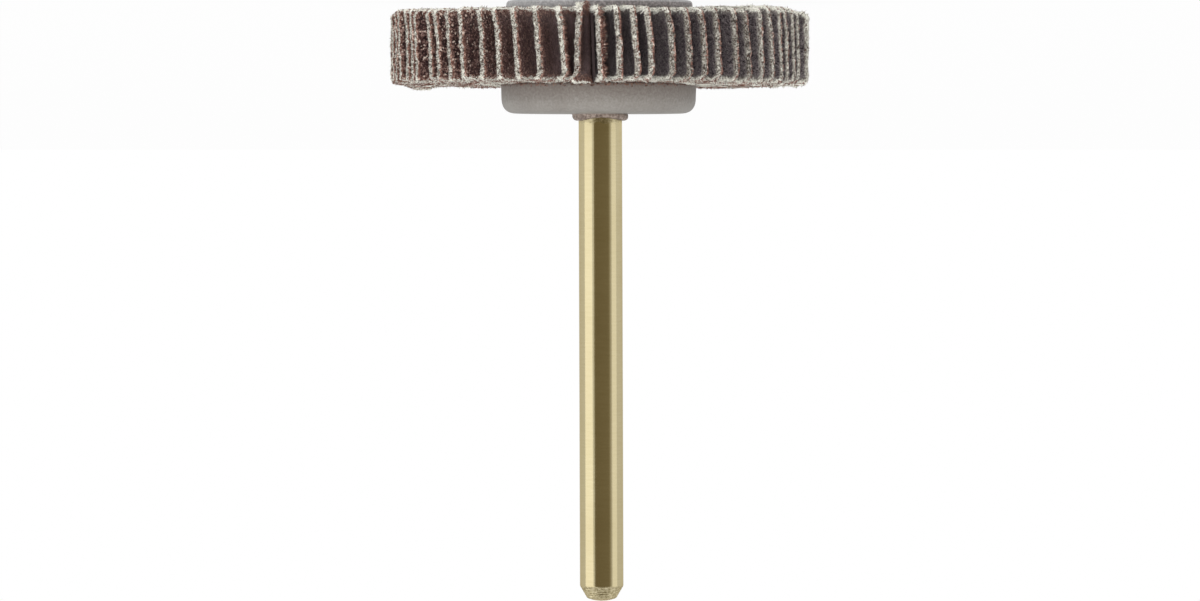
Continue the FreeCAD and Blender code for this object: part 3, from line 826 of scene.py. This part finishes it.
def fibres_of(flap):
    """Groups of fibres: (points, faces, material number, tones)."""
    rng = flap.rng
    groups = []

    def drawn(value, count):
        """A number for each fibre, drawn at random where the value is a (low, high) range."""
        return rng.uniform(*value, count) if isinstance(value, tuple) else np.zeros(count) + value

    def put(maker, material, count, s, v, w, toward, length, width, tilt, tone, away=False):
        """Adds fibres. Ranges are drawn from left to right, so that their order stays the same."""
        s, v, w, *toward, length, width = (drawn(value, count) for value in (s, v, w, *toward, length, width))
        points, faces = maker(flap, s, v, w, toward, length, width, tilt, away)
        tones = np.repeat(drawn(tone, count) + flap.pale, len(points) // count)
        groups.append((points, faces, material, tones))

    wide = WHEEL_WIDTH
    # threads that lie over the cut tip, and a few loose ones
    light = (0.5, 1.2) if flap.number in LIGHT_THREAD else (0.3, 1.0)
    put(spikes, THREAD, 240, LENGTH - 0.02, (-0.45, 1.0), (0.05, wide - 0.05), (0.32, (-1, 1), (-1.4, 1.4)),
        (0.08, 0.2), (0.024, 0.036), 0.25, light, True)
    put(curls, THREAD, 22, LENGTH - 0.01, (-0.35, 0.9), (0.1, wide - 0.1), (0.7, 0, (-1, 1)),
        (0.05, 0.12), (0.02, 0.032), 1.0, (0.55, 1.0), True)
    for w_at, way in ((0.03, -1), (wide - 0.03, 1)):
        brown = way > 0 and flap.number in BROWN_EDGE
        gritty = way < 0 and flap.number in GRITTY
        edge = GRAIN if gritty else THREAD
        # painted light: thread along the edge by the head flange gets paler tones, as that edge faces the
        # floor and gets less light
        light = (0.95, 1.4) if way < 0 else (0.65, 1.15)
        # thread ends that stand out of this cut edge, and a few loose ones
        n = 50 if brown else 96
        put(spikes, edge, n, outward_sample(rng, n, 0.75), (-0.6, 1.0), w_at,
            ((-1, 1), (-0.7, 0.7), way * 0.6), (0.05, 0.14), (0.026, 0.042), 0.35, light)
        n = 30
        put(curls, edge, n, outward_sample(rng, n, 0.75), (-0.7, 1.0), w_at, ((-1, 1), 0, way * 0.7),
            (0.08, 0.17), (0.024, 0.036), 0.9, light)
        # thread that has curled over onto both faces of the cloth along this edge, and into the gap
        for side in (-1, 1):
            n = 70 if brown or side < 0 and way < 0 else 120
            longest = (0.2 if side < 0 else 0.3) if way > 0 else (0.18 if side < 0 else 0.46)
            fallen = GRAIN if flap.number in GRITTY and side < 0 else THREAD
            put(spikes, fallen, n, outward_sample(rng, n, 0.9), side * 0.97,
                w_at - way * rng.uniform(0.0, 0.18, n),
                (rng.uniform(-0.5, 0.5, n), side, -way * rng.uniform(-0.2, 0.7, n)),
                (0.08, longest), (0.024, 0.038), 0.35, (light[0] - 0.1, light[1]))
        # grit caught in this edge, in two or three clusters
        n = 16 if way < 0 else 240 if brown else 130
        middle = rng.choice(rng.uniform(3.5, LENGTH - 0.2, 3), n)
        caught_at = np.clip(middle + rng.normal(0, 0.55, n), 1.2, LENGTH - 0.03)
        put(spikes, GRAIN, n, caught_at, (-1.0, 0.9), w_at, ((-0.7, 0.7), (-0.5, 0.5), way),
            (0.08, 0.2), (0.032, 0.05), 0.3, (0.0, 1.0))
        # bristles of grain just inside it
        n = 76
        put(spikes, GRAIN, n, outward_sample(rng, n, 0.6), -0.98, w_at - way * rng.uniform(0.18, 0.48, n),
            (rng.uniform(-0.6, 0.6, n), -1, way * rng.uniform(0, 1, n)),
            (0.05, 0.14), (0.022, 0.034), 0.4, (0.0, 1.0))
        # one place where this edge is more ragged
        n = 12
        ragged_at = np.clip(rng.uniform(5.5, LENGTH) + rng.normal(0, 0.2, n), 1.2, LENGTH - 0.03)
        put(curls, THREAD, n, ragged_at, (-0.8, 1.0), w_at, ((-0.6, 0.6), (-0.4, 0.4), way),
            (0.12, 0.3), (0.026, 0.04), 0.6, (0.4, 1.0))
    # thread ends that lean out over the back of the cloth, along the tip
    n, depth = (140, 0.26) if flap.number in FUZZY_BACK else (80, 0.07)
    put(spikes, THREAD, n, LENGTH - depth * rng.uniform(0.0, 1.0, n) ** 1.5, 0.98,
        (0.1, wide - 0.1), (0.3, 1.0, (-0.9, 0.9)), (0.04, 0.1), (0.02, 0.032), 0.3, (0.2, 1.0))
    # bristly grain along the tip
    n = 40 if flap.number in LIGHT_TIP else 140
    put(spikes, GRAIN, n, LENGTH - rng.uniform(0.0, 0.2, n), -0.98, (0.05, wide - 0.05),
        (0.2, -1.0, (-0.8, 0.8)), (0.04, 0.12), (0.024, 0.038), 0.35, (0.0, 1.0))
    if flap.number in BRUSHED:
        least, most, n = BRUSHED[flap.number]
        put(spikes, GRAIN, n, LENGTH - rng.uniform(0.0, 0.6, n), -0.98, (0.15, wide - 0.1),
            ((-0.6, 0.2), -1.0, (-0.5, 0.5)), (least, most), (0.026, 0.042), 0.3, (0.0, 1.0))
    for number, (s_at, s_out), (w_at, w_out), v_at, toward, material, n, lengths, tones in TUFTS:
        if number == flap.number:
            put(curls, material, n, np.minimum(s_at + rng.normal(0, s_out, n), LENGTH - 0.02),
                np.clip(v_at + rng.normal(0, 0.3, n), -1, 1), w_at + rng.normal(0, w_out, n),
                toward, lengths, (0.026, 0.042), 0.5, tones)
    return groups


def make_flap(number):
    flap = Flap(number)
    points = skin_points(flap)
    quads = BLOCK.faces
    # the frayed thread laps over both faces along the two cut edges, with a ragged limit
    at_edge = np.minimum(ACROSS[BLOCK.k], WHEEL_WIDTH - ACROSS[BLOCK.k])[quads].mean(axis=1)
    lapped = at_edge < flap.rng.uniform(0.08, 0.3, len(quads)) * np.where(BLOCK.side == "grain", 0.5, 1.0)
    if number in GRITTY:
        lapped &= BLOCK.side != "grain"
    near_tip = LENGTH - ALONG[BLOCK.i][quads].mean(axis=1)
    reach = (0.35, 0.85) if number in PALE_BACK else (0.02, 0.18) if number in FUZZY_BACK else (0.0, 0.1)
    lapped |= (BLOCK.side == "back") & (near_tip < flap.rng.uniform(*reach, len(quads)))
    material = np.select(
        [BLOCK.side == "root", ((BLOCK.side == "grain") | (BLOCK.side == "back")) & lapped,
         BLOCK.side == "grain", BLOCK.side == "back", BLOCK.layer == 0],
        [BACKING, THREAD, GRAIN, BACKING, GRAIN], default=THREAD,
    )
    # a ragged limit between grain and thread along the tip
    at_tip = BLOCK.side == "tip"
    chance = flap.rng.uniform(0, 1, len(quads))
    material[at_tip & (BLOCK.layer == 0) & (chance < (0.7 if number in LIGHT_TIP else 0.22))] = THREAD
    material[at_tip & (BLOCK.layer == 1) & (chance > (0.96 if number in LIGHT_THREAD else 0.88))] = GRAIN
    if number in GRITTY:
        material[((BLOCK.side == "low") | (BLOCK.side == "high")) & (BLOCK.layer < 3)] = GRAIN
    at_grain = BLOCK.j == 0
    from_end = np.minimum(ACROSS[BLOCK.k], WHEEL_WIDTH - ACROSS[BLOCK.k])
    from_tip = LENGTH - ALONG[BLOCK.i]
    back_reach = 1.6 if number in PALE_BACK else 0.35 if number in FUZZY_BACK else 0.12
    tip_reach = np.where(at_grain, 0.2, back_reach)
    fray = np.maximum(fray_of(from_end, 0.5), fray_of(from_tip, tip_reach))
    # painted light: the deep part of each flap, towards the root and away from the cut edges, is paler,
    # standing in for light that hardly reaches into the gaps
    recess_paint = flap.deep_light_paint * (1 - smooth(ALONG[BLOCK.i], 3.4, 7.6)) * smooth(from_end, 0.2, 1.1)
    recess_paint = recess_paint * np.where(at_grain, 0.7, 1.0)
    # painted highlight: glints and the grain's sparkle are strongest near the tip and fade deeper in
    painted_sparkle = flap.glint_paint_share * smooth(ALONG[BLOCK.i], 6.9, 8.3)
    tone = flap.rng.uniform(0.0, 0.55, len(points)) + 0.5 * fray_of(from_end, 0.45) + flap.pale
    # painted light: the skin along the edge by the head flange is paler still
    tone += 0.35 * fray_of(ACROSS[BLOCK.k], 0.4) + (0.45 if number in PALE_BACK else 0.0)
    all_points, all_faces, base = [points], quads.tolist(), len(points)
    all_material, all_flat = [material], [np.zeros(len(quads), bool)]
    values = {"fray": [fray], "tone": [tone], "recess_paint": [recess_paint], "painted_sparkle": [painted_sparkle]}
    for fibre_points, fibre_faces, slot_number, tones in fibres_of(flap):
        count = len(fibre_points)
        all_points.append(fibre_points)
        all_faces += (fibre_faces + base).tolist()
        all_material.append(np.full(len(fibre_faces), slot_number))
        all_flat.append(np.ones(len(fibre_faces), bool))
        values["fray"].append(np.full(count, 0.85))
        values["tone"].append(tones)
        values["recess_paint"].append(np.zeros(count))
        values["painted_sparkle"].append(np.full(count, flap.glint_paint_share))
        base += count
    piece = make_object(
        f"flap_{number + 1:02d}", np.concatenate(all_points), all_faces, [GRIT, CLOTH, FLUFF],
        np.concatenate(all_material), np.concatenate(all_flat),
        {name: np.concatenate(numbers) for name, numbers in values.items()},
    )
    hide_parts(f"flaps_{number // 2 + 1:02d}")
    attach(piece, "root")


# Stage, light and camera
def ray_kinds(tree):
    """Whether a ray comes from the camera, and whether it is a reflection or comes through glass."""
    path = tree.nodes.new("ShaderNodeLightPath")
    return path.outputs["Is Camera Ray"], maths(
        tree, "MAXIMUM", path.outputs["Is Glossy Ray"], path.outputs["Is Transmission Ray"])


def flat_sheet(name, corners, faces, material):
    """A sheet of the studio. Its corners are in metres."""
    mesh = bpy.data.meshes.new(name)
    mesh.from_pydata(corners, [], faces)
    mesh.materials.append(material)
    return into_scene(name, mesh)


def make_stage():
    """A softly glowing white table, as for a cut-out picture, that keeps a faint shadow."""
    material, tree, surface = bare_material("pale_floor")
    diffuse = tree.nodes.new("ShaderNodeBsdfDiffuse")
    diffuse.inputs[0].default_value = (0.9, 0.9, 0.9, 1)
    white = tree.nodes.new("ShaderNodeEmission")
    white.inputs[0].default_value = (1, 1, 1, 1)
    white.inputs[1].default_value = 1.0
    camera_ray, mirrored = ray_kinds(tree)
    seen = maths(tree, "MAXIMUM", camera_ray, mirrored)
    amount = plus(tree, times(tree, seen, 0.2), 0.75)
    blend = tree.nodes.new("ShaderNodeMixShader")
    tree.links.new(amount, blend.inputs[0])
    tree.links.new(diffuse.outputs[0], blend.inputs[1])
    tree.links.new(white.outputs[0], blend.inputs[2])
    tree.links.new(blend.outputs[0], surface)
    half, z = 3.0, -0.00002
    corners = [(-half, -half, z), (half, -half, z), (half, half, z), (-half, half, z)]
    flat_sheet("floor", corners, [(0, 1, 2, 3)], material)


def make_world():
    world = bpy.data.worlds.new("studio")
    bpy.context.scene.world = world
    world.use_nodes = True
    tree = world.node_tree
    tree.nodes.clear()
    output = tree.nodes.new("ShaderNodeOutputWorld")
    background = tree.nodes.new("ShaderNodeBackground")
    background.inputs[0].default_value = (1, 1, 1, 1)
    camera_ray, mirrored = ray_kinds(tree)
    strength = plus(tree, times(tree, camera_ray, 0.25), 0.75)
    strength = plus(tree, strength, times(tree, mirrored, 0.1))
    tree.links.new(strength, background.inputs[1])
    tree.links.new(background.outputs[0], output.inputs[0])


def area_light(name, place, target, size, size_y, power):
    light = bpy.data.lights.new(name, "AREA")
    light.shape = "RECTANGLE"
    light.size = size
    light.size_y = size_y
    light.energy = power
    lamp = into_scene(name, light)
    lamp.location = place
    lamp.rotation_euler = (Vector(target) - Vector(place)).to_track_quat("-Z", "Y").to_euler()
    return lamp


def painted_dark_reflection():
    """A glowing sheet behind the camera, which only reflections see: a painted reflection of the unlit side
    of the studio.

    It is darkest in the middle and fades to the white of the studio on one side. Its foot lies on the
    floor and narrows towards the object, so that it looks like the card carried on downwards.
    """
    material, tree, surface = bare_material("painted_dark_reflection")
    glow = tree.nodes.new("ShaderNodeEmission")
    x, depth, _ = taken_apart(tree, "ShaderNodeSeparateXYZ", object_place(tree))
    right, left, y, top_z = -1.00, 0.4, -0.55, 0.7
    aside = times(tree, x, maths(tree, "DIVIDE", y, depth))
    across = maths(tree, "DIVIDE", minus(tree, aside, right), left - right)
    tone = ramp(tree, across, (
        (0.0, (0.9, 0.9, 0.9)), (0.193, (0.6, 0.58, 0.52)), (0.307, (0.34, 0.3, 0.22)),
        (0.386, (0.25, 0.212, 0.138)), (0.92, (0.22, 0.183, 0.113)), (1.0, (0.3, 0.262, 0.185)),
    ))
    tree.links.new(tone, glow.inputs[0])
    tree.links.new(glow.outputs[0], surface)
    foot_z, near = -0.00001, 0.06
    corners = [(left, y, foot_z), (right, y, foot_z), (right, y, top_z), (left, y, top_z),
               (left * near, y * near, foot_z), (right * near, y * near, foot_z)]
    card = flat_sheet("painted_dark_reflection", corners, [(0, 1, 2, 3), (0, 4, 5, 1)], material)
    card.visible_camera = card.visible_diffuse = False
    card.visible_shadow = card.visible_transmission = False


def light_studio():
    """Two large soft boxes, one on each side, and a soft lamp behind the camera that metal doesn't show."""
    area_light("left_box", (0.517, -0.192, 0.23), (0, 0, 0.02), 0.56, 0.5, 0.62)
    area_light("right_box", (-0.53, -0.14, 0.2), (0, 0, 0.02), 0.32, 0.44, 0.16)
    front = area_light("front_lamp", (0.012, -0.45, 0.036), (0, 0, 0.006), 0.1, 0.06, 0.86)
    front.visible_glossy = False


def make_camera():
    """Looks along +Y with the wheel at the top of the picture, as the photograph does."""
    distance = 0.406
    picture_width = 82.93  # mm across the picture at the shank's distance
    eye_x, eye_z, middle_z = -0.024, 11.7, 20.72
    camera_data = bpy.data.cameras.new("camera")
    camera_data.sensor_width = 36.0
    camera_data.lens = 36.0 * distance / (picture_width * MM)
    camera_data.shift_y = -(middle_z - eye_z) / picture_width
    camera = into_scene("camera", camera_data)
    right, up, back = Vector((-1, 0, 0)), Vector((0, 0, -1)), Vector((0, -1, 0))
    turn = Matrix((right, up, back)).transposed().to_4x4()
    camera.matrix_world = Matrix.Translation((eye_x * MM, -distance, eye_z * MM)) @ turn
    bpy.context.scene.camera = camera


make_hub()
make_shank()
for flap_number in range(FLAP_COUNT):
    make_flap(flap_number)
make_stage()
make_world()
painted_dark_reflection()
light_studio()
make_camera()
bpy.context.scene.view_settings.view_transform = "Standard"
